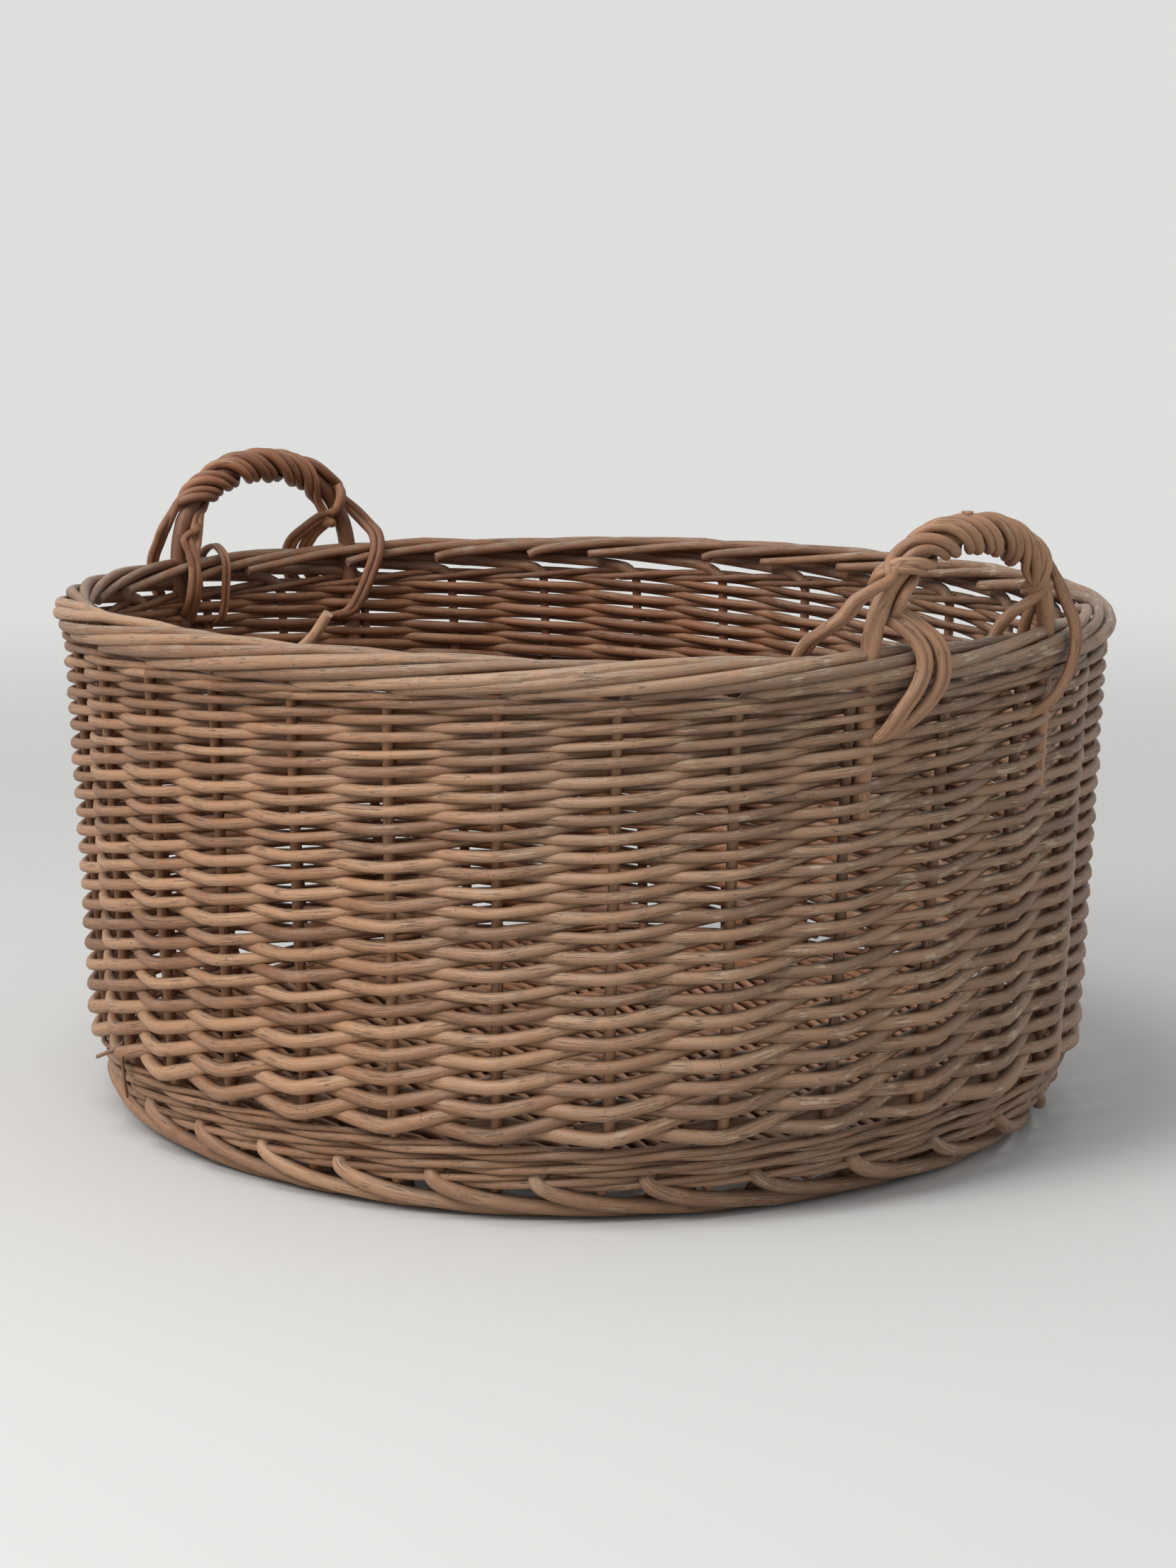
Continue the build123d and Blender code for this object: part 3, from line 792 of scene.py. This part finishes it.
# %% Tails
ROPING_RADIUS = 3.6 * MM
TAIL_SHARE = 0.84  # a roping rod thins towards its tails
ROPING_PITCH = 66 * MM
TAILS = {
    "first_in": [(-14, 6, -32), (-22, 4, -21), (-29, -4, -11), (-33, -12, -3), (-35, -17, 10), (-36, -15, 30),
                 (-36, -6, 44), (-36, 0, 50)],
    "first_near": [(17, 4, -14), (25, 11, -4), (28, 16.5, 9), (24, 17.5, 24), (14, 15, 41), (7, 10, 55), (2, 2, 61)],
    "first_far": [(20, -2, -22), (31, 5, -13), (40, 13, -2), (43, 17.5, 13), (40, 17.5, 28), (28, 15, 43),
                  (15, 10, 54), (6, 2, 60)],
    "first_deep": [(-10, 5, -24), (-17, 0, -13), (-18, -10, -4), (-13, -17, 9), (-5, -18, 26), (3, -17, 42),
                   (12, -15, 54), (26, -14, 57)],
    "second_out": [(8, 5, -24), (12, 10, -12), (15, 16, 1), (14, 18.5, 16), (9, 18, 30), (0, 16, 43), (-14, 12, 53),
                   (-26, 3, 60)],
    "second_in": [(-9, 4, -27), (-18, -2, -17), (-29, -11, -8), (-36, -17, 4), (-40, -17, 22), (-42, -9, 38),
                  (-42, 0, 44)],
    "second_leg": [(-3, -10, -14), (-4, -14, -3), (-4, -17, 12), (-4, -15, 30), (-4, -6, 46), (-4, 0, 52)],
    "second_loop": [(-19, -7, -30), (-13, -10, -14), (-6, -14, -2), (-3, -17, 12), (0, -15, 30), (0, -6, 44)],
}
ROPING = {  # tails at the first and the second leg, and where each starts to leave the bow
    "right": [("first_in", -0.30, 0.040, "second_out", 1.72, 0.032),
              ("first_near", 0.60, 0.020, "second_in", 0.30, 0.036),
              ("first_far", 0.75, 0.030, "second_leg", 0.95, 0.022)],
    "left": [("first_deep", -0.30, 0.034, "second_out", 1.72, 0.032),
             ("first_near", 0.60, 0.020, "second_loop", 0.55, 0.042),
             ("first_far", 0.75, 0.030, "second_leg", 0.95, 0.022)],
}


ARCH_POINTS = 420


def tail_points(leg_y, knots, shift):
    """Points of a tail from its knots, moved a little along the rim."""
    aside, out, drop = np.array(knots, float).T * MM
    y = leg_y + aside + shift
    return np.stack([end_x(y, RIM_TOP - drop) + out, y, RIM_TOP - drop], axis=-1)


def roping_line(bundle, phase, spread, sway, slack):
    """One roping rod: its first tail, the helix round the arch, and its second tail."""
    first, first_turn, first_height, second, second_turn, second_height = bundle
    core = arch_line(ARCH_POINTS, RIM_TOP - 12 * MM)
    run = np.concatenate([[0], np.cumsum(np.linalg.norm(np.diff(core, axis=0), axis=1))])
    tangents = np.gradient(core, axis=0)
    tangents /= np.linalg.norm(tangents, axis=1)[:, None]
    outward = np.array([1.0, 0.0, 0.0]) - tangents * tangents[:, :1]
    outward /= np.linalg.norm(outward, axis=1)[:, None]
    sideways = np.cross(tangents, outward)
    run_first, run_second = 12 * MM + first_height, run[-1] - 12 * MM - second_height
    share = np.clip((run - run_first) / (run_second - run_first), 0, 1)
    laid = run - run[-1] / 2 - 12 * MM * np.sin(math.pi * share)
    turn = phase + 2 * math.pi * laid / ROPING_PITCH
    turn = turn + spread * 0.40 * np.sin(math.pi * np.clip(share * 5, 0, 0.5)) * np.sin(
        math.pi * np.clip((1 - share) * 5, 0, 0.5))
    # near the feet it slides round the bow to the side where its tail leaves
    for spot, wanted, near in ((run_first, first_turn, share), (run_second, second_turn, 1 - share)):
        slide = math.remainder(wanted * math.pi - float(np.interp(spot, run, turn)), 2 * math.pi)
        turn = turn + slide * np.clip(1 - near / 0.22, 0, 1) ** 2
    turn = turn + sway + wander(len(run), 3, 0.04)
    reach = BOW_RADIUS + ROPING_RADIUS * 0.97 + slack + np.abs(wander(len(run), 5, 0.3 * MM))
    helix = core + reach[:, None] * (np.cos(turn)[:, None] * outward + np.sin(turn)[:, None] * sideways)
    kept = helix[(run >= run_first) & (run <= run_second)]
    shift = spread * 0.92 * TAIL_SHARE * ROPING_RADIUS
    tail_low = tail_points(leg_low, TAILS[first], shift)[::-1]
    tail_high = tail_points(leg_high, TAILS[second], shift)
    return smooth_line(np.vstack([tail_low, kept[::7], tail_high]), (len(kept) // 7 + 16) * 6)


def turn_half(line):
    return line * np.array([-1, -1, 1])


def build_handle(name, bundles, turned):
    core = arch_line(120, bow_box[0][2])
    core = turn_half(core) if turned else core
    one_rod(
        f"{name}_bow_rod", core, bark_radius(core, BOW_RADIUS, 0.1), handle_bark,
        [f"{name}_handle_bow"], sides=14,
    )
    for number, bundle in enumerate(bundles, start=1):
        skin = RodSkin(sides=9)
        tone = luck.random()
        phase = 2 * math.pi * (3 - number) / 3
        sway = wander(ARCH_POINTS, 4, 0.20)
        ends = np.abs(np.linspace(-1, 1, ARCH_POINTS)) ** 4
        slack = MM * ((1.0 + 1.5 * number) * ends + np.abs(wander(ARCH_POINTS, 4, 0.9)))
        for spread in (-1, 1):
            line = roping_line(bundle, phase, spread, sway, slack)
            line = turn_half(line) if turned else line
            ends = np.abs(np.linspace(-1, 1, len(line)))
            size = ROPING_RADIUS * (1.08 if spread < 0 else 0.88) * luck.normal(1.0, 0.03)
            radii = bark_radius(line, size, 0.08) * (1 - (1 - TAIL_SHARE) * ends**2)
            skin.add(line, radii, np.clip(tone + luck.normal(0, 0.15), 0, 1))
        skin.finish(
            f"{name}_roping_{number}", handle_bark,
            [f"{name}_handle_wrap", f"{name}_handle_tails"],
        )


# %% Handles
build_handle("right", ROPING["right"], False)
build_handle("left", ROPING["left"], True)

tie = RodSkin(sides=8)
TIE_KNOTS = [(-34, 17, 32), (-36, 18, 14), (-38, 13, 2), (-39, 4, -4.0), (-38, -8, -4.5), (-38, -17, 5),
             (-36, -18, 22), (-34, -17, 38), (-31, -14, 50), (-31, -4, 56)]
for shift in (-2.1 * MM, 2.1 * MM):
    line = turn_half(smooth_line(tail_points(leg_high, TIE_KNOTS, shift), 60))
    tie.add(line, bark_radius(line, 2.0 * MM, 0.2))
tie.finish("left_border_tie", handle_bark, ["left_handle_tails"])

# %% [markdown]
# ## Loose ends
# Cut tips stick out where rods were joined: a thick stub inside the left rim, two thin twigs low on the left, and
# a stub low on the right. The bottom stays straight and the twigs are split, so they're a little uneven.

# %% Loose ends
LOOSE_ENDS = {  # place in stakes, outwards and height in millimetres; then the radius, slot and node
    "rim_stub": ([(23.70, -9, 362), (23.86, -12, 373), (24.02, -14, 389)], 3.9, "willow_border", "border_inner_rod_1"),
    "low_twig_1": ([(20.62, -2, 70), (20.72, 8, 64), (20.62, 24, 57)], 1.6, "willow_weave", "lower_wale"),
    "low_twig_2": ([(20.75, -2, 66), (20.90, 10, 62), (20.86, 14, 46), (20.80, 16, 30)], 1.3, "willow_weave",
                   "lower_wale"),
    "low_stub": ([(4.70, -2, 78), (4.85, 10, 74), (4.95, 14, 62), (4.98, 15, 46)], 2.8, "willow_weave", "lower_wale"),
}
for name, (knots, radius, slot, node) in LOOSE_ENDS.items():
    shape = smooth_line(knots, 30)
    line = basket_points(shape[:, 0], shape[:, 2] * MM, shape[:, 1] * MM)
    one_rod(name, line, bark_radius(line, radius * MM, 0.25), border_bark, [node], sides=9)

arch_peak = arch_line(3, RIM_TOP)[1]
roping_top = BOW_RADIUS + 2 * ROPING_RADIUS
stub_heights = np.linspace(roping_top - 5 * MM, roping_top + 1.0 * MM, 6)
stub = arch_peak + np.stack([0 * stub_heights, 0 * stub_heights, stub_heights], axis=-1)
one_rod(
    "right_cut_end", stub, np.full(len(stub), 4.0 * MM), handle_bark, ["right_handle_wrap"], sides=12,
)
